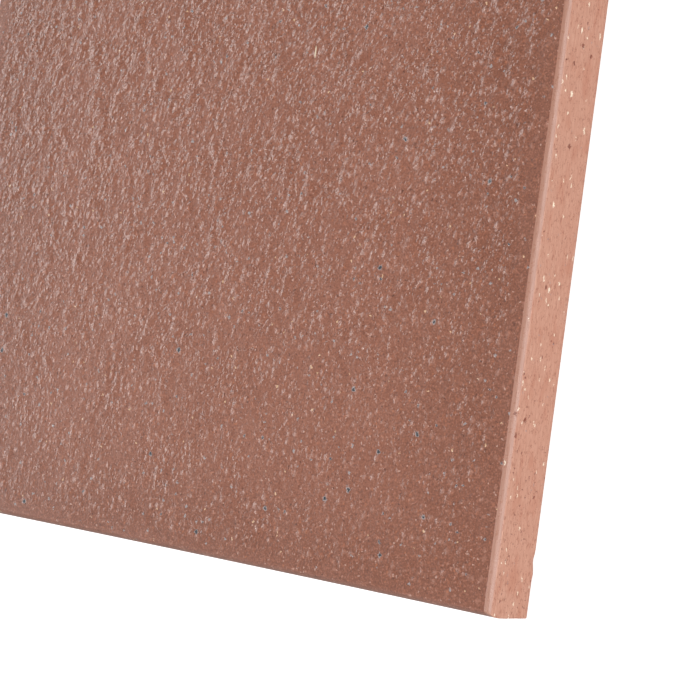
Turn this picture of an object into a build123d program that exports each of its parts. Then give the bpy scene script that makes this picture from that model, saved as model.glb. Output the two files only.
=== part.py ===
from build123d import *

import os

# A quarry tile: unglazed red clay, pushed through a die as one long column, wire-cut to length
# and fired as one piece. It lies face up. X runs across the die, Y along the push, Z up from the back.
# The origin is under the middle of the tile, on the plane that its back lands rest on.

# Driving dimensions, in millimetres and degrees
tile_width = 150.0  # between the two die-formed sides
tile_length = 150.0  # between the two wire cuts
tile_thickness = 12.5  # back lands to face

bevel_inset = 1.2  # bevel along the die-formed face edges, measured in from the side
bevel_drop = 1.2  # the same bevel, measured down from the face
bevel_crown = 0.18  # how far the bevel swells past a flat one, which softens both of its creases
back_arris_radius = 0.5  # eased edge between each die-formed side and the back

roll_inset = 1.6  # rolled face edge at the wire cuts, measured in from the cut
roll_drop = 4.75  # the same roll, measured down from the face

groove_pitch = 11.5  # keying grooves in the back, centre to centre
groove_mouth = 6.5  # width of a groove where it opens in the back
groove_depth = 1.2
groove_draft = 30.0  # lean of a groove's flanks, so that the die lets the clay go
groove_floor_radius = 0.6  # rounding where a flank meets the groove's floor
edge_land = 8.0  # least width of the plain land outside the last groove

# Values that follow from them
half_width = tile_width / 2
half_length = tile_length / 2
widest_groove_reach = half_width - edge_land - groove_mouth / 2
grooves_each_side = int(widest_groove_reach / groove_pitch + 0.5)


def die_section():
    """Section that the die gives the clay: bevelled face edges, and grooves that key the back."""
    with BuildSketch(Plane.XZ) as section:
        with BuildLine():
            back = Line((0, 0), (half_width - back_arris_radius, 0))
            arris = TangentArc(back @ 1, (half_width, back_arris_radius), tangent=back % 1)
            side = Line(arris @ 1, (half_width, tile_thickness - bevel_drop))
            bevel = SagittaArc(side @ 1, (half_width - bevel_inset, tile_thickness), -bevel_crown)
            Line(bevel @ 1, (0, tile_thickness))
            mirror(about=Plane.YZ)
        make_face()
        with GridLocations(groove_pitch, 0, 2 * grooves_each_side, 1):
            Trapezoid(
                groove_mouth,
                groove_depth,
                90 - groove_draft,
                align=(Align.CENTER, Align.MIN),
                mode=Mode.SUBTRACT,
            )
        floor_corners = section.vertices().filter_by_position(Axis.Y, groove_depth, groove_depth)
        fillet(floor_corners, groove_floor_radius)
    return section.sketch


def cut_profile():
    """Side view between the wire cuts: square at the back, with a soft roll at the face."""
    roll_foot = tile_thickness - roll_drop
    with BuildSketch(Plane.YZ) as profile:
        with BuildLine():
            back = Line((0, 0), (half_length, 0))
            Line(back @ 1, (half_length, roll_foot))
            roll_centre = (half_length - roll_inset, roll_foot)
            roll = EllipticalCenterArc(roll_centre, roll_inset, roll_drop, arc_size=90)
            Line(roll @ 1, (0, tile_thickness))
            mirror(about=Plane.YZ)
        make_face()
    return profile.sketch


with BuildPart() as quarry_tile:
    extrude(die_section(), amount=half_length, both=True)
    extrude(cut_profile(), amount=half_width, both=True, mode=Mode.INTERSECT)

os.makedirs("parts", exist_ok=True)
export_step(quarry_tile.part, "parts/quarry_tile.step")
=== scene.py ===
# %% [markdown]
# # A quarry tile, face up
# A quarry tile is plain red clay. A machine pushes a long bar of it through a steel die, a wire cuts the
# bar into squares, and the kiln fires them hard without a glaze. So the whole object is one piece with one
# finish, and all its looks come from small things: the pimpled skin of the face, the paler sides that
# slid along the die, and the grit in the clay. This lesson makes that one piece as a surface of numbers.

# %% Load the fixed frame
import math

import bpy
import numpy as np
from mathutils import Matrix, Vector


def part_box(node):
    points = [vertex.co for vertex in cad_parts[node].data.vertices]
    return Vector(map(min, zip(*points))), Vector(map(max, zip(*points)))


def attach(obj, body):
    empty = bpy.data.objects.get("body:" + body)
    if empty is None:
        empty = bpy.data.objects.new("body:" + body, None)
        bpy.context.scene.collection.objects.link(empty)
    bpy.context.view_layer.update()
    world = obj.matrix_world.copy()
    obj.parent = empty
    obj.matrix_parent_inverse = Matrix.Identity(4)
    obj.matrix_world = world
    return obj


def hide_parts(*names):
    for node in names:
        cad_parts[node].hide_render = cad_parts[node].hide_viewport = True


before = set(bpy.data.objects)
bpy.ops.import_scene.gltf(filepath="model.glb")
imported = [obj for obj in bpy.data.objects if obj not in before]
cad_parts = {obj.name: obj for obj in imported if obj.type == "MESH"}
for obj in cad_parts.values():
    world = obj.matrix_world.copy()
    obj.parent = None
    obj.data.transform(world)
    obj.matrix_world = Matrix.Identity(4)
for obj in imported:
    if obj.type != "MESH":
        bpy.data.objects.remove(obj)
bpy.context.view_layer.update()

low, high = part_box("quarry_tile")
print("CAD tile, in metres:", [round(side, 4) for side in high - low])

# %% [markdown]
# ## Sizes
# Blender counts in metres, but a tile maker thinks in millimetres, so all shapes are worked out in
# millimetres and only turned to metres as they go into the mesh. The outer size comes from the frame. The
# small sizes are the die's: its bevels, the eased edge at the back, the roll that the cutting wire leaves
# along the other two edges, and the grooves that key the back into its mortar bed.

# %% Sizes of the tile, in millimetres
mm = 0.001
tile_width, tile_length, thickness = (high - low) / mm
half_width = tile_width / 2
half_length = tile_length / 2

bevel = 1.2
bevel_crown = 0.18
back_arris = 0.5
roll_inset = 1.6
roll_drop = 4.75
groove_pitch = 11.5
groove_mouth = 6.5
groove_depth = 1.2
groove_draft = math.radians(30)
groove_floor_radius = 0.6
grooves_each_side = 6

crease = thickness - bevel
roll_foot = thickness - roll_drop
face_half = half_width - bevel
print("flat of the face:", round(2 * face_half, 1), "by", round(2 * (half_length - roll_inset), 1), "mm")

# %% [markdown]
# ## The die section
# The die draws the same outline all along the tile, so the skin is a profile carried along a straight path.
# A box with a Bevel modifier could stand for it, but then every face would be one big polygon with nothing to
# push about. Instead the outline is a list of closely spaced points, from the underside up one side, over the
# bevel, across the face and down the other side. Rows lie close together at the creases, so that smooth
# shading turns sharply there and stays flat elsewhere.

# %% Profile that the die gives the skin
face_step = 0.5
side_rows = 12
arris_rows = 5
crease_ease = 0.12
under_width = 0.6
bevel_stops = np.array([0.06, 0.18, 0.32, 0.46, 0.6, 0.74, 0.86, 0.95])


def edge_profile():
    """Half of the skin's outline, from under the tile to the face: points (x, z) and their part numbers.

    Part 0, underside: a point on the land. Part 1, arris: a quarter circle. Part 2, side: straight rows.
    Part 3, bevel: a chamfer that swells by crown * 4 t (1 - t), where t is the share of the way up it.
    """
    under = np.array([[half_width - back_arris - under_width, 0.0]])
    turn = np.linspace(-math.pi / 2, 0, arris_rows)
    arris = np.column_stack([np.cos(turn) - 1, np.sin(turn) + 1]) * back_arris + [half_width, 0]
    rise = np.append(np.linspace(back_arris, crease - crease_ease, side_rows)[1:], crease)
    side = np.column_stack([np.full(len(rise), half_width), rise])
    t = bevel_stops
    swell = bevel_crown * 4 * t * (1 - t) / math.sqrt(2)
    slope = np.column_stack([half_width - bevel * t + swell, crease + bevel * t + swell])
    points = np.concatenate([under, arris, side, slope])
    parts = np.repeat([0, 1, 2, 3], [len(under), len(arris), len(side), len(slope)])
    return points, parts


edge_points, edge_parts = edge_profile()
inner_half = face_half - crease_ease
face_columns = round(2 * inner_half / face_step)
face_x = np.concatenate([[face_half], np.linspace(inner_half, -inner_half, face_columns + 1), [-face_half]])
face_points = np.column_stack([face_x, np.full(len(face_x), thickness)])
profile = np.concatenate([edge_points, face_points, edge_points[::-1] * [-1, 1]])
part = np.concatenate([edge_parts, np.full(len(face_x), 4), edge_parts[::-1]])
print("points round the die section:", len(profile))

# %% [markdown]
# ## The wire cuts
# A wire cuts the soft bar across, and the wire drags the skin over at the face, so these two edges are soft
# rolls and not bevels. From the side the roll is a quarter of an ellipse. Each station along the tile has its
# own greatest height, and the die section is pressed down to it: that is how two outlines, one seen from the
# front and one from the side, meet in a solid.

# %% Stations along the tile and the skin between the cuts
station_step = 0.63
roll_stations = 10
corner_radius = 0.3


def stations():
    """Places along Y with the tile's height there: level in the middle, an ellipse's quarter at each cut."""
    turn = np.linspace(0, math.pi / 2, roll_stations + 1)
    roll_y = half_length - roll_inset * (1 - np.cos(turn))
    roll_z = thickness - roll_drop * (1 - np.sin(turn))
    count = round(2 * roll_y[-1] / station_step)
    middle = np.linspace(-roll_y[-1], roll_y[-1], count + 1)[1:-1]
    along = np.concatenate([-roll_y, middle, roll_y[::-1]])
    height = np.concatenate([roll_z, np.full(len(middle), thickness), roll_z[::-1]])
    return along, height


def plain_skin():
    """Skin with no relief: the profile at every station, its sides shortened and its top pressed down.

    Within a corner radius of each cut the width draws in by a quarter circle, which eases the corners.
    """
    x = np.repeat(profile[:, :1], len(along), axis=1)
    y = np.repeat(along[None, :], len(profile), axis=0)
    top = np.minimum(crease, height)
    share = (profile[:, 1:] - back_arris) / (crease - back_arris)
    side_z = back_arris + share * (top - back_arris)
    z = np.where(part[:, None] == 2, side_z, np.minimum(profile[:, 1:], height))
    inside = np.clip(corner_radius - (half_length - np.abs(along)), 0, None)
    drawn_in = corner_radius - np.sqrt(corner_radius**2 - inside**2)
    x = x * (1 - drawn_in / half_width)
    return np.stack([x, y, z], axis=-1)


along, height = stations()
skin = plain_skin()
print("skin grid:", skin.shape[:2])

# %% [markdown]
# ## Clay noise
# The pimples of the face have no pattern, but they have a size. A field like that comes from white noise:
# its waves are sorted by length with a Fourier transform, the waves of the wanted length are kept and
# the rest are turned down. A Displace modifier with a cloud texture is the usual way, but here the
# wave length can be set in millimetres, and longer one way than the other.

# %% Noise with a set size
raster_step = 0.25
raster_columns = 840
raster_rows = 640
raster_shape = (raster_columns, raster_rows)
turns_x = np.fft.fftfreq(raster_columns, raster_step)[:, None]
turns_y = np.fft.rfftfreq(raster_rows, raster_step)[None, :]


def sifted(raster, gain):
    """Raster with each of its waves multiplied by a gain, then brought to mean 0 and deviation 1."""
    field = np.fft.irfft2(np.fft.rfft2(raster) * gain, s=raster_shape)
    return (field - field.mean()) / field.std()


def clay_noise(seed, across, along_y, spread=0.45):
    """Seeded noise on a raster, with waves about as long as asked each way, in millimetres.

    White noise is transformed, and each wave is multiplied by exp(-(ln k / spread)^2 / 2), where k is the
    wave's number of turns in one asked length: 1 passes in full, half and double are turned down.
    """
    white = np.random.default_rng(seed).normal(size=raster_shape)
    k = np.hypot(turns_x * across, turns_y * along_y)
    return sifted(white, np.exp(-((np.log(np.maximum(k, 1e-6)) / spread) ** 2) / 2))


def bumps(seed, spacing, across, along_y):
    """Seeded bumps on a raster, one for each square of the spacing on average, each with its own height.

    A few random points hold a height and all the others 0. They are blurred to bells with the given
    half-widths, which in waves is a product with exp(-2 pi^2 ((fx across)^2 + (fy along_y)^2)).
    """
    dice = np.random.default_rng(seed)
    hits = dice.random(raster_shape) < (raster_step / spacing) ** 2
    heights = hits * dice.exponential(size=raster_shape)
    blur = (turns_x * across) ** 2 + (turns_y * along_y) ** 2
    return sifted(heights, np.exp(-2 * math.pi**2 * blur))


def sample(field, x, y):
    """Reads a raster at places (x, y) in millimetres from its middle, by weighing the four nearest points."""
    column = np.clip(x / raster_step + raster_columns / 2, 0, raster_columns - 2)
    row = np.clip(y / raster_step + raster_rows / 2, 0, raster_rows - 2)
    c = column.astype(int)
    r = row.astype(int)
    u = column - c
    v = row - r
    near = field[c, r] * (1 - u) + field[c + 1, r] * u
    far = field[c, r + 1] * (1 - u) + field[c + 1, r + 1] * u
    return near * (1 - v) + far * v


def smooth(value, start, end):
    """Smooth step: 0 before start, 1 after end, and 3 t^2 - 2 t^3 between them."""
    t = np.clip((value - start) / (end - start), 0, 1)
    return t * t * (3 - 2 * t)


print("noise raster:", raster_columns, "by", raster_rows, "points,", raster_step, "mm apart")

# %% [markdown]
# ## Relief of the skin
# The clay's skin tears a little as it leaves the die, and drying pulls the tears into an orange peel: low
# pimples about two millimetres apart, most of them less than a tenth high. They drift sideways along the
# push, more and more towards one cut, thin out towards the other, and fade beside the bevels, where the
# die presses hardest, and at the rolls. The sides slid along steel, so they only wave a little. Relief is
# added along the surface's own normal, as a Displace modifier would. What is finer than the grid is left
# to the bump.

# %% Push the relief into the skin
peel_drift = 0.17
drift_growth = 0.0009
pimple_height = 0.03
wave_height = 0.028
drag_height = 0.01
least_peel = 0.52
added_peel = 0.8
right_loss = 0.12
patch_share = 0.15


def outward(grid):
    """Unit normals of a grid: its step along crossed with its step round, which points out of the clay."""
    round_step = np.gradient(grid, axis=0)
    along_step = np.gradient(grid, axis=1)
    normal = np.cross(along_step, round_step)
    return normal / np.linalg.norm(normal, axis=-1, keepdims=True)


middle_section = skin[:, len(along) // 2]
steps = np.linalg.norm(np.diff(middle_section, axis=0), axis=1)
run = np.concatenate([[0], np.cumsum(steps)])
across, y = np.meshgrid(run[-1] / 2 - run, along, indexing="ij")
drifted = across - y * (peel_drift + drift_growth * y)

pimples = sample(bumps(11, 2.2, 0.55, 0.65), drifted, y)
waves = sample(clay_noise(12, 4.5, 5.5, 0.5), drifted, y)
patches = sample(clay_noise(13, 14, 20), across, y)
drag = sample(clay_noise(14, 3.0, 40), across, y)

from_bevel = face_half - np.abs(skin[..., 0])
from_cut = half_length - roll_inset - np.abs(y)
fade = smooth(from_bevel, 0.3, 6) * smooth(from_cut, -0.4, 4)
strength = fade * (least_peel + added_peel * smooth(y, -70, 55))
strength = strength * (1 - right_loss * smooth(across, -10, 60))
strength = strength * (1 + patch_share * np.clip(patches, -2, 2))
on_face = (part == 4)[:, None]
on_side = (part == 2)[:, None]
peel = pimple_height * pimples + wave_height * waves
relief = np.where(on_face, peel * strength, 0) + np.where(on_side, drag_height * drag, 0)
skin = skin + outward(skin) * relief[..., None]
print("relief from", round(relief.min(), 3), "to", round(relief.max(), 3), "mm")

# %% [markdown]
# ## Knocks
# Fired clay is brittle along its thin back edge. One corner of it has a small bite, with a burr of clay
# beside it that the wire pushed out. Both are bells along the edge, and they fade out above it.

# %% Bite and burr in the back edge
bite_at, bite_length, bite_depth = -64.2, 2.0, 0.25
burr_at, burr_length, burr_height = -66.7, 1.3, 0.13


def bell(at, length):
    """A bell along the edge: exp(-((y - at) / (length / 2))^2), which is 1 at its middle."""
    return np.exp(-(((y - at) / (length / 2)) ** 2))


knocked = bite_depth * bell(bite_at, bite_length) - burr_height * bell(burr_at, burr_length)
near_back = smooth(skin[..., 2], 1.8, 0.4) * (skin[..., 0] > 0)
skin[..., 0] = skin[..., 0] - knocked * near_back
print("deepest bite:", round((knocked * near_back).max(), 2), "mm")

# %% [markdown]
# ## The back
# The back rests on flat lands with shallow grooves between them. Nothing there is finer than a fillet, so
# its profile is carried along the tile in a few long steps.

# %% Lands and grooves
back_stations = 27
land_rim = 0.8
fillet_points = 4


def back_profile():
    """Outline of the back from +X to -X as points (x, z): lands, leaning flanks and filleted groove floors.

    A fillet of radius r between flank and floor starts r tan(half the turn) from their corner.
    """
    turn = math.pi / 2 - groove_draft
    setback = groove_floor_radius * math.tan(turn / 2)
    half_floor = groove_mouth / 2 - groove_depth * math.tan(groove_draft)
    angle = np.linspace(0, turn, fillet_points)[::-1]
    bend_x = half_floor - setback + groove_floor_radius * np.sin(angle)
    bend_z = groove_depth - groove_floor_radius * (1 - np.cos(angle))
    half_x = np.concatenate([[groove_mouth / 2 + land_rim, groove_mouth / 2], bend_x])
    half_z = np.concatenate([[0, 0], bend_z])
    groove = np.column_stack([np.append(half_x, -half_x[::-1]), np.append(half_z, half_z[::-1])])
    centres = (np.arange(2 * grooves_each_side) - grooves_each_side + 0.5)[::-1] * groove_pitch
    grooves = groove[None] + np.column_stack([centres, 0 * centres])[:, None]
    return grooves.reshape(-1, 2)


back_line = back_profile()
back = np.empty((len(back_line), back_stations, 3))
back[..., 0] = back_line[:, :1]
back[..., 1] = np.linspace(-half_length, half_length, back_stations)
back[..., 2] = back_line[:, 1:]
print("back grid:", back.shape[:2])

# %% [markdown]
# ## The cut ends
# Below the roll, the wire leaves a plane with faint drag marks across it. Each end is a grid of its own, a
# little smaller than the end's outline, which is joined to its neighbours in the next step.

# %% Two wire-cut ends
end_columns = 150
end_rows = 11
end_margin = 0.4
wire_height = 0.03
field_shift = 40
wire_field = clay_noise(16, 9, 1.3)


def cut_end(sign):
    """Grid on the plane of a cut: columns from +X to -X, rows from under the roll down to above the grooves.

    The depth under the plane is the size of the wire's marks, long across the end and short up and down.
    """
    reach = half_width - corner_radius - end_margin
    x = np.linspace(reach, -reach, end_columns)
    z = np.linspace(roll_foot - end_margin, groove_depth + end_margin, end_rows)
    grid_x, grid_z = np.meshgrid(x, z)
    marks = wire_height * np.abs(sample(wire_field, grid_x, grid_z + sign * field_shift))
    return np.stack([grid_x, sign * (half_length - marks), grid_z], axis=-1)


ends = {sign: cut_end(sign) for sign in (-1, 1)}
print("grid of each end:", ends[1].shape[:2])

# %% [markdown]
# ## Joining the grids
# Skin, back and ends are grids of different fineness, so their edges can't share quads. They are zipped
# instead: a walk along two rows at once makes one triangle at each step, and the shell comes out closed. The
# ends of a real tile also draw in a little in the middle as it dries, so all points are moved by that last.

# %% Number the points and zip the grids together
end_hollow = 0.2

skin_ids = np.arange(skin.shape[0] * skin.shape[1]).reshape(skin.shape[:2])
back_ids = np.arange(back.shape[0] * back.shape[1]).reshape(back.shape[:2]) + skin_ids.size
end_ids = {}
first_free = skin_ids.size + back_ids.size
for sign, grid in ends.items():
    end_ids[sign] = np.arange(grid.shape[0] * grid.shape[1]).reshape(grid.shape[:2]) + first_free
    first_free += end_ids[sign].size
points = np.concatenate([grid.reshape(-1, 3) for grid in (skin, back, ends[-1], ends[1])])
points[:, 1] *= 1 - end_hollow / half_length * (1 - (points[:, 0] / half_width) ** 2)


def quads(ids):
    """Four-cornered faces of a grid of point numbers, facing rows-crossed-with-columns."""
    return np.stack([ids[:-1, :-1], ids[1:, :-1], ids[1:, 1:], ids[:-1, 1:]], axis=-1).reshape(-1, 4)


def zipped(first, second):
    """Triangles between two rows of point numbers that run the same way.

    They face the way from first to second crossed with the way along. Each row's points are placed from
    0 to 1 by length, and each step moves on along the row whose next point comes first.
    """
    places = []
    for row in (first, second):
        steps = np.linalg.norm(np.diff(points[row], axis=0), axis=1)
        length = np.concatenate([[0], np.cumsum(steps)])
        places.append(length / length[-1])
    order = np.argsort(np.concatenate([places[0][1:], places[1][1:]]), kind="stable")
    on_first = order < len(first) - 1
    i = np.cumsum(on_first) - on_first
    j = np.cumsum(~on_first) - ~on_first
    next_first = first[np.minimum(i + 1, len(first) - 1)]
    next_second = second[np.minimum(j + 1, len(second) - 1)]
    return np.column_stack([first[i], second[j], np.where(on_first, next_first, next_second)])


top_from, top_to = np.flatnonzero(part == 2)[[side_rows - 1, side_rows]]
four_cornered = [quads(skin_ids.T), quads(back_ids)]
three_cornered = [zipped(skin_ids[0], back_ids[0]), zipped(back_ids[-1], skin_ids[-1])]
for sign, station in ((-1, 0), (1, -1)):
    rim = skin_ids[:, station]
    inner = end_ids[sign]
    under = np.concatenate([rim[-1:], back_ids[::-1, station], rim[:1]])
    sides = [
        (rim[top_from:top_to + 1], inner[0]),
        (rim[top_to:], inner[:, -1]),
        (under, inner[-1, ::-1]),
        (rim[:top_from + 1], inner[::-1, 0]),
    ]
    four_cornered.append(quads(inner) if sign > 0 else quads(inner)[:, ::-1])
    for outer_row, inner_row in sides:
        pair = (outer_row, inner_row) if sign > 0 else (inner_row, outer_row)
        three_cornered.append(zipped(*pair))
four_cornered = np.concatenate(four_cornered)
three_cornered = np.concatenate(three_cornered)
print("triangles in all:", 2 * len(four_cornered) + len(three_cornered))

# %% [markdown]
# ## The mesh
# The points go into Blender as they are, in metres, so the object stays at the origin. Shading is smooth, and
# only edges that turn by more than the bevel's creases are sharp, such as the rims of the grooves.

# %% Make the tile's object
sharp_turn = math.radians(42)
mesh = bpy.data.meshes.new("quarry_tile_skin")
mesh.from_pydata((points * mm).tolist(), [], four_cornered.tolist() + three_cornered.tolist())
mesh.shade_smooth()
mesh.set_sharp_from_angle(angle=sharp_turn)

tile = bpy.data.objects.new("quarry_tile_body", mesh)
bpy.context.scene.collection.objects.link(tile)
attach(tile, "root")
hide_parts("quarry_tile")
print("mesh:", len(mesh.vertices), "points,", len(mesh.polygons), "faces")

# %% [markdown]
# ## Masks
# The finish changes from face to bevel to side, and the peel fades at its rims. The grids know where that
# is, so each point carries the shares as attributes, and the material reads them by name. A share can
# change slowly where the clay does: the face's finish thins out at the top of the bevel and at the foot
# of the roll. The back and the cut ends lie halfway between face and side.

# %% Shares that the material reads
margin_at_bevel = 38
margin_at_cut = 22
body_share = 0.5
foot_fade = 1.6


def mask(name, skin_values, back_and_ends):
    """Stores one number at each point: an array for the skin, and one value for the back and the ends."""
    on_skin = np.broadcast_to(skin_values, skin.shape[:2]).ravel()
    values = np.concatenate([on_skin, np.full(len(points) - on_skin.size, back_and_ends)])
    mesh.attributes.new(name, "FLOAT", "POINT").data.foreach_set("value", values.astype(np.float32))


edge_rise = np.concatenate([np.zeros(len(edge_parts) - len(bevel_stops)), bevel_stops])
bevel_rise = np.concatenate([edge_rise, np.ones(len(face_x)), edge_rise[::-1]])[:, None]
inside = smooth(from_bevel, 0, margin_at_bevel) * smooth(from_cut, 0, margin_at_cut)
rolled = body_share + (1 - body_share) * smooth(height, roll_foot, roll_foot + foot_fade)
mask("face_share", smooth(bevel_rise, 0.9, 1.0) * rolled, body_share)
mask("bevel_share", smooth(bevel_rise, 0.0, 0.2), 0.0)
mask("peel_share", np.where(on_face, strength, 0), 0.0)
# Painted shade: the face is painted darker towards its rims, where it catches less sheen; back and ends take
# it in full.
mask("margin_share", 1 - inside, 1.0)
print("attributes:", [layer.name for layer in mesh.attributes if layer.name.endswith("share")])

# %% [markdown]
# ## Helpers for materials
# Colours are written as sRGB hex codes, as a colour picker gives them, and Blender's sockets want linear
# light. One more helper adds a node: it sets the node's options, links what is a socket and sets the rest.
# With these two, a material is a list of steps that can be read from top to bottom.

# %% Colours and nodes
soft = {"interpolation_type": "SMOOTHSTEP"}
rgba = {"data_type": "RGBA"}


def linear(code):
    """Turns an sRGB hex colour into the linear numbers that Blender's sockets hold."""
    srgb = np.array([int(code[i:i + 2], 16) for i in (1, 3, 5)]) / 255
    value = np.where(srgb <= 0.04045, srgb / 12.92, ((srgb + 0.055) / 1.055) ** 2.4)
    return (*value.tolist(), 1.0)


def node(tree, kind, inputs, **options):
    """Adds one node, sets its options, fills its inputs and returns its outputs.

    Inputs come in order, or in a dictionary by name or number. A socket is linked, anything else is set.
    """
    made = tree.nodes.new("ShaderNode" + kind)
    for name, value in options.items():
        setattr(made, name, value)
    pairs = inputs.items() if isinstance(inputs, dict) else enumerate(inputs)
    for key, value in pairs:
        if isinstance(value, bpy.types.NodeSocket):
            tree.links.new(value, made.inputs[key])
        else:
            made.inputs[key].default_value = value
    return made.outputs


print("mid grey in linear light:", round(linear("#808080")[0], 3))

# %% [markdown]
# ## Fired clay
# Fired clay is a red, unglazed ceramic that has sintered until it is nearly glassy. To the eye it is a matt
# body under a thin satin skin: the ground is dull, and each pimple that tilts to a lamp has a small pale
# glint. Its coordinates are the object's own, turned to millimetres, so every pattern below has a real
# size. Three copies of them are changed: one is ragged, so that specks aren't round, one is the ragged one
# drawn out along the push, and one is combed out much further, for the fine lines of the sides.

# %% Coordinates of the clay
ragged_size = 0.5
raggedness = 0.9
draw = 0.35
comb_draw = 0.1

clay = bpy.data.materials.new("fired_clay")
clay.use_nodes = True
tree = clay.node_tree
tree.nodes.clear()
place = node(tree, "TexCoord", {})["Object"]
place = node(tree, "VectorMath", {0: place, "Scale": 1 / mm}, operation="SCALE")[0]
place_x, place_y, place_z = node(tree, "SeparateXYZ", (place,))
face_share = node(tree, "Attribute", {}, attribute_name="face_share")["Fac"]
bevel_share = node(tree, "Attribute", {}, attribute_name="bevel_share")["Fac"]
peel_share = node(tree, "Attribute", {}, attribute_name="peel_share")["Fac"]
margin_share = node(tree, "Attribute", {}, attribute_name="margin_share")["Fac"]

ripple = node(tree, "TexNoise", {"Vector": place, "Scale": 1 / ragged_size, "Detail": 1.0})["Color"]
ripple = node(tree, "VectorMath", (ripple, (0.5, 0.5, 0.5)), operation="SUBTRACT")[0]
ragged = node(tree, "VectorMath", (ripple, [raggedness] * 3, place), operation="MULTIPLY_ADD")[0]
drawn = node(tree, "VectorMath", (ragged, (1.0, draw, 1.0)), operation="MULTIPLY")[0]
combed = node(tree, "VectorMath", (place, (1.0, comb_draw, 1.0)), operation="MULTIPLY")[0]
print("coordinates of the clay:", len(tree.nodes), "nodes")

# %% [markdown]
# ## Grit
# Grit in the clay shows as specks: iron that burnt blue-grey, cream grains of sand, and rosy, orange and
# brown grains of crushed tile. A Voronoi texture scatters grains through the whole body, as real grit is,
# and the surface cuts them at random, so their sizes differ by themselves. Each grain's own random number
# says which kind it is.

# %% Scattered grit
grain_spacing = 1.6
streak_spacing = 1.0
sand_spacing = 0.9
grains = node(tree, "TexVoronoi", {"Vector": ragged, "Scale": 1 / grain_spacing})
streak_grains = node(tree, "TexVoronoi", {"Vector": drawn, "Scale": 1 / streak_spacing})
sand_grains = node(tree, "TexVoronoi", {"Vector": ragged, "Scale": 1 / sand_spacing})


def specks(cells, spacing, radius, start, end):
    """Mask of the grains whose random number lies from start to end: 1 inside, soft over the outer half."""
    dice = node(tree, "SeparateColor", (cells["Color"],))[0]
    kept = node(tree, "Math", (dice, (start + end) / 2, (end - start) / 2), operation="COMPARE")[0]
    reach = radius / spacing
    inside = node(tree, "MapRange", (cells["Distance"], reach, reach / 2), **soft)[0]
    return node(tree, "Math", (inside, kept), operation="MULTIPLY")[0]


iron_halo = specks(grains, grain_spacing, 0.38, 0.0, 0.17)
iron_core = specks(grains, grain_spacing, 0.24, 0.0, 0.06)
cream = specks(grains, grain_spacing, 0.30, 0.2, 0.27)
crushed = specks(grains, grain_spacing, 0.40, 0.3, 0.8)
pale_sand = specks(sand_grains, sand_spacing, 0.26, 0.0, 0.16)
dark_sand = specks(sand_grains, sand_spacing, 0.26, 0.2, 0.34)
orange_sand = specks(sand_grains, sand_spacing, 0.28, 0.34, 0.5)
rosy_sand = specks(sand_grains, sand_spacing, 0.3, 0.5, 0.72)
brown_sand = specks(sand_grains, sand_spacing, 0.3, 0.76, 0.98)
plucked = specks(sand_grains, sand_spacing, 0.33, 0.5, 1.0)
streaks = specks(streak_grains, streak_spacing, 0.2, 0.0, 0.15)
print("scattered grit:", len(tree.nodes), "nodes so far")

# %% [markdown]
# The largest blebs and scars are few, and an eye that knows this tile would look for them, so they are listed
# one by one: iron blebs, crumbs and one scratch on the face, and smears and holes on the side. The distance
# to the nearest of a list of places makes each into spots, and the bent coordinates make them ragged or long.

# %% Spots listed one by one, in millimetres on the face (x, y) and on the side (y, z)
bleb_radius = 0.58
blebs = [
    (-59.5, -33.0), (-59.5, -40.5), (-9.0, -35.0), (41.5, 10.5), (62.5, 4.0), (28.5, 31.5),
    (39.5, -14.0), (54.0, -23.0), (45.0, -48.5), (39.0, -56.5), (33.5, -59.0), (53.5, -44.0),
    (19.0, -63.0), (48.5, -67.5), (-13.0, -56.5), (2.0, -70.0), (-47.0, -71.0), (37.0, -37.5),
    (57.5, -59.0),
]
crumb_radius = 0.35
crumbs = [(62.0, -46.0), (69.5, -44.0)]
scratch_radius = 0.22
scratch_draw = 0.15
scratch = (16.5, 26.1)
smear_radius = 0.28
smears = [(33.0, 7.5), (33.0, 1.5), (21.5, 8.0), (15.5, 2.5), (1.0, 9.0), (-12.5, 9.0), (-14.5, 7.0)]
hole_radius = 0.5
holes = [
    (30.5, 6.5), (29.0, 3.5), (27.0, 8.5), (12.0, 6.5), (-14.0, 8.0), (-38.5, 9.0), (-37.5, 11.8),
    (-41.5, 11.2),
]


def spots(here, places, radius, hard=0.5):
    """Mask of the spots round some places: 1 within the hard share of the radius, and 0 past the radius."""
    least = 2 * radius
    for spot in places:
        away = node(tree, "VectorMath", (here, spot), operation="DISTANCE")["Value"]
        least = node(tree, "Math", (away, least), operation="MINIMUM")[0]
    return node(tree, "MapRange", (least, radius, radius * hard), **soft)[0]


bleb_places = [(x, y, thickness) for x, y in blebs]
crumb_places = [(x, y, thickness) for x, y in crumbs]
scratch_place = (scratch[0], scratch[1] * scratch_draw, thickness)
smear_places = [(half_width, y * draw, z) for y, z in smears]
hole_places = [(min(half_width, half_width + crease - z), y, z) for y, z in holes]
bleb_halo = spots(ragged, bleb_places, bleb_radius, 0.7)
bleb_core = spots(ragged, bleb_places, bleb_radius * 0.75, 0.55)
iron_halo = node(tree, "Math", (iron_halo, bleb_halo), operation="MAXIMUM")[0]
iron_core = node(tree, "Math", (iron_core, bleb_core), operation="MAXIMUM")[0]
cream = node(tree, "Math", (cream, spots(ragged, crumb_places, crumb_radius)), operation="MAXIMUM")[0]
along_scratch = node(tree, "VectorMath", (place, (1.0, scratch_draw, 1.0)), operation="MULTIPLY")[0]
scratched = spots(along_scratch, [scratch_place], scratch_radius, 0.6)
streaks = node(tree, "Math", (streaks, spots(drawn, smear_places, smear_radius)), operation="MAXIMUM")[0]
holed = spots(ragged, hole_places, hole_radius)
print("spots set by hand:", len(blebs) + len(crumbs) + 1 + len(smears) + len(holes))

# %% [markdown]
# ## Fine pimples
# Pimples narrower than about two millimetres are finer than the mesh, so they are bump: the shader tilts its
# normal as if the height were there. Height is given in millimetres, so it adds up with the mesh's relief. A
# cone is the best shape for one: its flank has one slope from foot to tip, so the whole flank glints at once.

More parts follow.
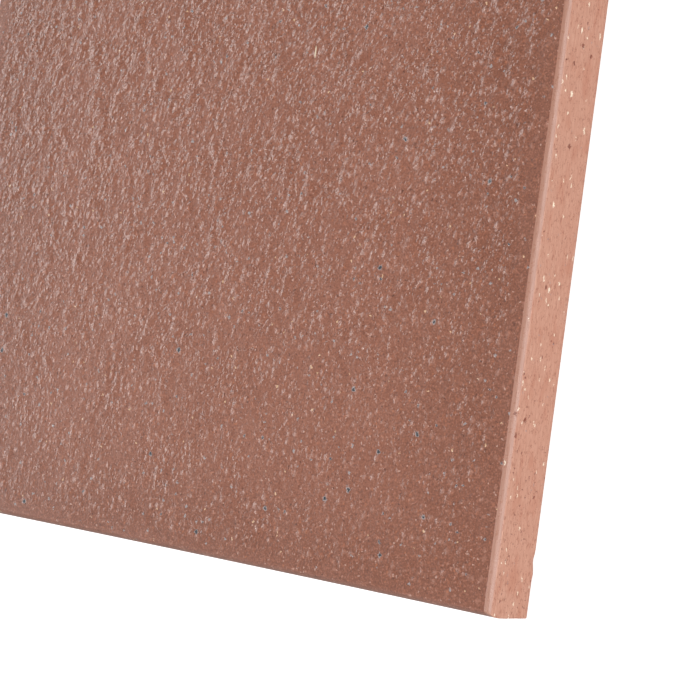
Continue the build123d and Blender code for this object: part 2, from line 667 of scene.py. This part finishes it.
# %% Pimples
large_pimples = {"spacing": 1.7, "radius": 0.85, "slope": 0.36}
middle_pimples = {"spacing": 1.15, "radius": 0.55, "slope": 0.34}
small_pimples = {"spacing": 0.7, "radius": 0.34, "slope": 0.34}
pimple_draw = 0.9
slant_noise = 0.5
least_reach = 0.5
steep_power = 1.6
foot_rounding = 0.25
drift = node(tree, "Math", (place_y, drift_growth, peel_drift), operation="MULTIPLY_ADD")[0]
drift = node(tree, "Math", (drift, place_y), operation="MULTIPLY")[0]
drifted_x = node(tree, "Math", (place_x, drift), operation="SUBTRACT")[0]
drawn_y = node(tree, "Math", (place_y, pimple_draw), operation="MULTIPLY")[0]
slanted = node(tree, "CombineXYZ", (drifted_x, drawn_y, place_z))[0]
slanted = node(tree, "VectorMath", (ripple, [slant_noise] * 3, slanted), operation="MULTIPLY_ADD")[0]


def pimples_of(spacing, radius, slope):
    """Height of cones in millimetres, one in each cell of the scatter: slope times the way in from the foot.

    Two random numbers of the cell give its cone's reach, from half the radius to all of it, and the share of
    the slope that it has, raised to a power, so that steep ones are few. A smooth maximum with 0 rounds the
    cone's foot.
    """
    cells = node(tree, "TexVoronoi", {"Vector": slanted, "Scale": 1 / spacing}, voronoi_dimensions="2D")
    dice = node(tree, "SeparateColor", (cells["Color"],))
    widest = radius / spacing
    reach = node(tree, "MapRange", (dice[1], 0.0, 1.0, least_reach * widest, widest))[0]
    share = node(tree, "Math", (dice[0], steep_power), operation="POWER")[0]
    slant = node(tree, "Math", (share, slope * spacing), operation="MULTIPLY")[0]
    way_in = node(tree, "Math", (reach, cells["Distance"]), operation="SUBTRACT")[0]
    cone = node(tree, "Math", (way_in, 0.0, foot_rounding * widest), operation="SMOOTH_MAX")[0]
    return node(tree, "Math", (cone, slant), operation="MULTIPLY")[0]


standing = pimples_of(**large_pimples)
standing = node(tree, "Math", (standing, pimples_of(**middle_pimples)), operation="ADD")[0]
standing = node(tree, "Math", (standing, pimples_of(**small_pimples)), operation="ADD")[0]
print("pimples:", len(tree.nodes), "nodes so far")

# %% [markdown]
# ## Colour of the face
# The ground is a dull red that clouds a little, with a grain at the limit of sight and the grit on top. It
# is painted darker towards the margins, a painted shade for the sheen that the middle catches, and the tips
# of the pimples are painted paler, a painted highlight on each. Each step lays one colour over the last, as a
# painter would glaze it.

# %% Face colour
cloud_size = 9
grain_size = 0.36
tip_start = 0.04
tip_full = 0.16


def lay(base, share, code, strength):
    """Lays a colour over a base by a mask and a strength."""
    share = node(tree, "Math", (share, strength), operation="MULTIPLY")[0]
    return node(tree, "Mix", {0: share, 6: base, 7: linear(code)}, **rgba)[2]


cloud = node(tree, "TexNoise", {"Vector": place, "Scale": 1 / cloud_size, "Detail": 2.0})["Fac"]
grain = node(tree, "TexNoise", {"Vector": place, "Scale": 1 / grain_size, "Detail": 1.0})["Fac"]
pale_grain = node(tree, "MapRange", (grain, 0.5, 0.75), **soft)[0]
dark_grain = node(tree, "MapRange", (grain, 0.5, 0.25), **soft)[0]
# Painted highlight: the tips of the pimples are painted paler, for the pale sheen that lit pimples show.
painted_tip_highlight = node(tree, "MapRange", (standing, tip_start, tip_full), **soft)[0]

face_colour = node(tree, "Mix", {0: cloud, 6: linear("#8F5B48"), 7: linear("#9A6551")}, **rgba)[2]
# Painted shade towards the margins, for the sheen that the middle of the face catches.
face_colour = lay(face_colour, margin_share, "#7E4E3B", 0.5)
face_colour = lay(face_colour, pale_grain, "#B27864", 0.6)
face_colour = lay(face_colour, dark_grain, "#6E453A", 0.6)
# Painted highlight on the pimples' tips.
face_colour = lay(face_colour, painted_tip_highlight, "#B58270", 0.4)
face_colour = lay(face_colour, crushed, "#B8765C", 0.45)
face_colour = lay(face_colour, orange_sand, "#BC7655", 0.5)
face_colour = lay(face_colour, rosy_sand, "#C28F7C", 0.5)
face_colour = lay(face_colour, brown_sand, "#6C4336", 0.55)
face_colour = lay(face_colour, dark_sand, "#58352C", 0.7)
face_colour = lay(face_colour, pale_sand, "#D2AC9E", 0.65)
face_colour = lay(face_colour, cream, "#E6C09C", 0.85)
face_colour = lay(face_colour, scratched, "#EFDDC2", 0.95)
face_colour = lay(face_colour, iron_halo, "#A8A6A8", 0.7)
face_colour = lay(face_colour, iron_core, "#30343A", 0.95)
print("face colour:", len(tree.nodes), "nodes so far")

# %% [markdown]
# ## Colour of the sides
# The die polishes the sides, which burn to a paler orange; part of that paleness is painted light, for the
# strong light that falls on them from the right. It also combs them into fine lines along the push, smears
# their grit into cream streaks, and plucks grains out, which leaves pits, painted dark for the shade inside
# them. The pits come in clusters, and there are more of them towards the cut where the push began.

# %% Side colour
line_size = 0.3
dash_size = 0.35
blush_size = 2.5
cluster_size = 6
mottle_size = 0.6
lines = node(tree, "TexNoise", {"Vector": combed, "Scale": 1 / line_size, "Detail": 2.0})["Fac"]
dashes = node(tree, "TexNoise", {"Vector": drawn, "Scale": 1 / dash_size, "Detail": 1.0})["Fac"]
dashes = node(tree, "MapRange", (dashes, 0.55, 0.7), **soft)[0]
blush = node(tree, "TexNoise", {"Vector": drawn, "Scale": 1 / blush_size, "Detail": 2.0})["Fac"]
blush = node(tree, "MapRange", (blush, 0.5, 0.7), **soft)[0]
mottle = node(tree, "TexNoise", {"Vector": ragged, "Scale": 1 / mottle_size, "Detail": 1.0})["Fac"]
mottle = node(tree, "MapRange", (mottle, 0.3, 0.7), **soft)[0]

cluster = node(tree, "TexNoise", {"Vector": place, "Scale": 1 / cluster_size, "Detail": 1.0})["Fac"]
more_pits = node(tree, "MapRange", (place_y, -20, -50, 0.0, 0.1), **soft)[0]
cluster = node(tree, "Math", (cluster, more_pits), operation="ADD")[0]
cluster = node(tree, "MapRange", (cluster, 0.5, 0.62), **soft)[0]
# Mask of the pits and holes: painted dark below for the shade inside them, and pressed in by the bump.
pits_with_painted_shade = node(tree, "Math", (plucked, cluster), operation="MULTIPLY")[0]
below_bevel = node(tree, "Math", (1.0, bevel_share), operation="SUBTRACT")[0]
pits_with_painted_shade = node(tree, "Math", (pits_with_painted_shade, below_bevel), operation="MULTIPLY")[0]
pits_with_painted_shade = node(tree, "Math", (pits_with_painted_shade, holed), operation="MAXIMUM")[0]

# Partly painted light: the sides' paler orange is partly their own and partly the strong light from the
# right.
side_colour = node(tree, "Mix", {0: lines, 6: linear("#AC735E"), 7: linear("#CEA08B")}, **rgba)[2]
side_colour = lay(side_colour, blush, "#AC6A52", 0.35)
side_colour = lay(side_colour, dashes, "#8A4C37", 0.5)
side_colour = lay(side_colour, bevel_share, "#A67866", 1.0)
side_colour = lay(side_colour, streaks, "#F2E4CE", 0.9)
side_colour = lay(side_colour, iron_halo, "#8E8587", 0.5)
# Painted shade: the pits and holes are painted dark for the shade inside them.
side_colour = lay(side_colour, pits_with_painted_shade, "#783A28", 0.8)
print("side colour:", len(tree.nodes), "nodes so far")

# %% [markdown]
# Where the two colours meet, high on the bevel, the die leaves no straight line: clay of the face is smeared
# a little over the bevel here and rubbed off it there. So the share of the face is bent by some noise first.

# %% Colours of face and sides together
smear_size = 1.6
smear_reach = 0.3
rubbed = node(tree, "TexNoise", {"Vector": drawn, "Scale": 1 / smear_size, "Detail": 2.0})["Fac"]
rubbed = node(tree, "Math", (rubbed, 0.5), operation="SUBTRACT")[0]
face_cover = node(tree, "Math", (rubbed, smear_reach, face_share), operation="MULTIPLY_ADD")[0]
face_cover = node(tree, "MapRange", (face_cover, 0.2, 0.8), **soft)[0]
colour = node(tree, "Mix", {0: face_cover, 6: side_colour, 7: face_colour}, **rgba)[2]
print("colours:", len(tree.nodes), "nodes so far")

# %% [markdown]
# ## Fine relief and gloss
# The grain stands up a little too, and so do the iron blebs. The sides have the comb's lines and the pits,
# and the bevel is faintly hammered. All of it is satin: the face clouds and is smoother where it is most
# pimpled, the sides are mottled, and the bevel is a little smoother than they are, because the die rubs
# it. One Principled shader takes all of it.

# %% Bump, roughness and the shader
grain_height = 0.05
bleb_height = 0.07
line_height = 0.02
pit_depth = 0.08
hammer_height = 0.012
smoothest_face = 0.34
roughest_face = 0.37
smoothest_side = 0.31
roughest_side = 0.39
bevel_polish = -0.04
peel_polish = -0.07

face_bump = node(tree, "Math", (standing, peel_share), operation="MULTIPLY")[0]
face_bump = node(tree, "Math", (grain, grain_height, face_bump), operation="MULTIPLY_ADD")[0]
face_bump = node(tree, "Math", (iron_halo, bleb_height, face_bump), operation="MULTIPLY_ADD")[0]
side_bump = node(tree, "MapRange", (lines, 0.2, 0.8, 0.0, line_height), **soft)[0]
side_bump = node(tree, "Math", (pits_with_painted_shade, -pit_depth, side_bump), operation="MULTIPLY_ADD")[0]
hammer = node(tree, "Math", (mottle, bevel_share), operation="MULTIPLY")[0]
side_bump = node(tree, "Math", (hammer, hammer_height, side_bump), operation="MULTIPLY_ADD")[0]
bump_height = node(tree, "Mix", {0: face_share, 2: side_bump, 3: face_bump})[0]
bump = node(tree, "Bump", {"Height": bump_height, "Distance": mm})["Normal"]

face_satin = node(tree, "MapRange", (cloud, 0.3, 0.7, smoothest_face, roughest_face), **soft)[0]
face_satin = node(tree, "Math", (peel_share, peel_polish, face_satin), operation="MULTIPLY_ADD")[0]
side_satin = node(tree, "MapRange", (mottle, 0.0, 1.0, smoothest_side, roughest_side), **soft)[0]
side_satin = node(tree, "Math", (bevel_share, bevel_polish, side_satin), operation="MULTIPLY_ADD")[0]
roughness = node(tree, "Mix", {0: face_share, 2: side_satin, 3: face_satin})[0]
finish = {"Base Color": colour, "Roughness": roughness, "Normal": bump}
surface = node(tree, "BsdfPrincipled", finish)[0]
node(tree, "OutputMaterial", {"Surface": surface})
mesh.materials.append(clay)
print("fired clay:", len(tree.nodes), "nodes")

# %% [markdown]
# ## Floor
# The tile lies on a sheet of white paper. The paper takes the tile's shadow as any sheet would, and shines
# a little of its own for the camera, so that it stays white without more lamps. In reflections it is
# dimmer, so that the tile's edges don't pick up a white line from it.

# %% Floor
floor_reach = 3.0
floor_gap = 0.0001
seen_shine = 0.7
mirrored_shine = 0.15
floor_corners = ((-1, -1), (1, -1), (1, 1), (-1, 1))
floor_points = [(x * floor_reach, y * floor_reach, -floor_gap) for x, y in floor_corners]
floor_mesh = bpy.data.meshes.new("floor")
floor_mesh.from_pydata(floor_points, [], [(0, 1, 2, 3)])
floor = bpy.data.objects.new("floor", floor_mesh)
bpy.context.scene.collection.objects.link(floor)

paper = bpy.data.materials.new("white_paper")
paper.use_nodes = True
sheet = paper.node_tree
sheet.nodes.clear()
rays = node(sheet, "LightPath", {})
seen = node(sheet, "Math", (rays["Is Camera Ray"], rays["Is Transmission Ray"]), operation="MAXIMUM")[0]
mirrored = node(sheet, "Math", (rays["Is Glossy Ray"], mirrored_shine), operation="MULTIPLY")[0]
shine = node(sheet, "Math", (seen, seen_shine, mirrored), operation="MULTIPLY_ADD")[0]
white = node(sheet, "Mix", {0: rays["Is Glossy Ray"], 6: linear("#D2D2D2"), 7: linear("#848484")}, **rgba)[2]
dull = node(sheet, "BsdfDiffuse", {"Color": white})[0]
glow = node(sheet, "Emission", {"Color": linear("#FFFFFF"), "Strength": shine})[0]
both = node(sheet, "AddShader", (dull, glow))[0]
node(sheet, "OutputMaterial", {"Surface": both})
floor_mesh.materials.append(paper)
print("floor:", 2 * floor_reach, "m wide")

# %% [markdown]
# ## Camera
# The camera stands half a metre off with a long lens and looks down on one corner of the tile. Its place, aim
# and roll follow from the edges in the picture: two die-formed edges, a cut and the thickness pin them down.

# %% Camera
camera_at = np.array([367.58, -25.3, 419.02])
looks_at = np.array([34.98, -30.24, 12.61])
camera_roll = math.radians(-7.52)
focal_pixels = 2765
frame_pixels = 700


def camera_axes():
    """Right, up and back of the camera.

    Back points from the aim to the camera, and up is +Y squared to it and then rolled.
    """
    back_axis = (camera_at - looks_at) / np.linalg.norm(camera_at - looks_at)
    level_up = np.array([0, 1, 0]) - back_axis[1] * back_axis
    level_up = level_up / np.linalg.norm(level_up)
    level_right = np.cross(level_up, back_axis)
    up = math.cos(camera_roll) * level_up + math.sin(camera_roll) * level_right
    return np.cross(up, back_axis), up, back_axis


lens = bpy.data.cameras.new("camera")
lens.sensor_width = 36
lens.lens = focal_pixels / frame_pixels * lens.sensor_width
lens.clip_start = 0.01
camera = bpy.data.objects.new("camera", lens)
bpy.context.scene.collection.objects.link(camera)
stand = np.eye(4)
stand[:3, :3] = np.column_stack(camera_axes())
stand[:3, 3] = camera_at * mm
camera.matrix_world = Matrix(stand.tolist())
bpy.context.scene.camera = camera
print("lens:", round(lens.lens, 1), "mm")

# %% [markdown]
# ## Light
# A pimpled skin shows in light that grazes it, so one long softbox stands low on the left, where flat
# ground sends it past the camera and only tilted pimples catch it. A dim one above it gives the ground a
# faint sheen. One on the right lights the side and the bevel, one overhead and a little to the front
# lights the clay's own colour, and two dim ones in front open the roll.

# %% Softboxes and surroundings
surroundings = 0.2


def softbox(name, direction, distance, width, tall, radiance):
    """A soft lamp that faces the tile. Its power is radiance * pi * area, so its panel looks that bright."""
    lamp = bpy.data.lights.new(name, "AREA")
    lamp.shape = "RECTANGLE"
    lamp.size = width
    lamp.size_y = tall
    lamp.energy = radiance * math.pi * width * tall
    box = bpy.data.objects.new(name, lamp)
    bpy.context.scene.collection.objects.link(box)
    way = Vector(direction).normalized()
    box.location = way * distance
    box.rotation_mode = "QUATERNION"
    box.rotation_quaternion = way.to_track_quat("Z", "Y")
    box.visible_camera = False
    return box


softbox("left_softbox", (-0.92, 0.03, 0.36), 1.4, 1.8, 0.46, 5.4)
softbox("upper_left_softbox", (-0.82, 0.03, 0.56), 1.4, 1.8, 0.49, 0.5)
softbox("right_softbox", (0.97, -0.05, 0.3), 0.9, 0.8, 0.62, 4.65)
softbox("top_softbox", (0.3, -0.42, 0.86), 0.9, 0.6, 0.5, 3.4)
softbox("front_softbox", (0.0, -0.85, 0.53), 1.0, 0.8, 0.5, 0.5)
softbox("low_softbox", (-0.63, -0.76, 0.16), 1.0, 0.7, 0.4, 0.9)
world = bpy.data.worlds.new("studio")
world.use_nodes = True
world.node_tree.nodes["Background"].inputs["Color"].default_value = (1, 1, 1, 1)
world.node_tree.nodes["Background"].inputs["Strength"].default_value = surroundings
bpy.context.scene.world = world
bpy.context.scene.view_settings.view_transform = "Standard"
print("softboxes:", len(bpy.data.lights))
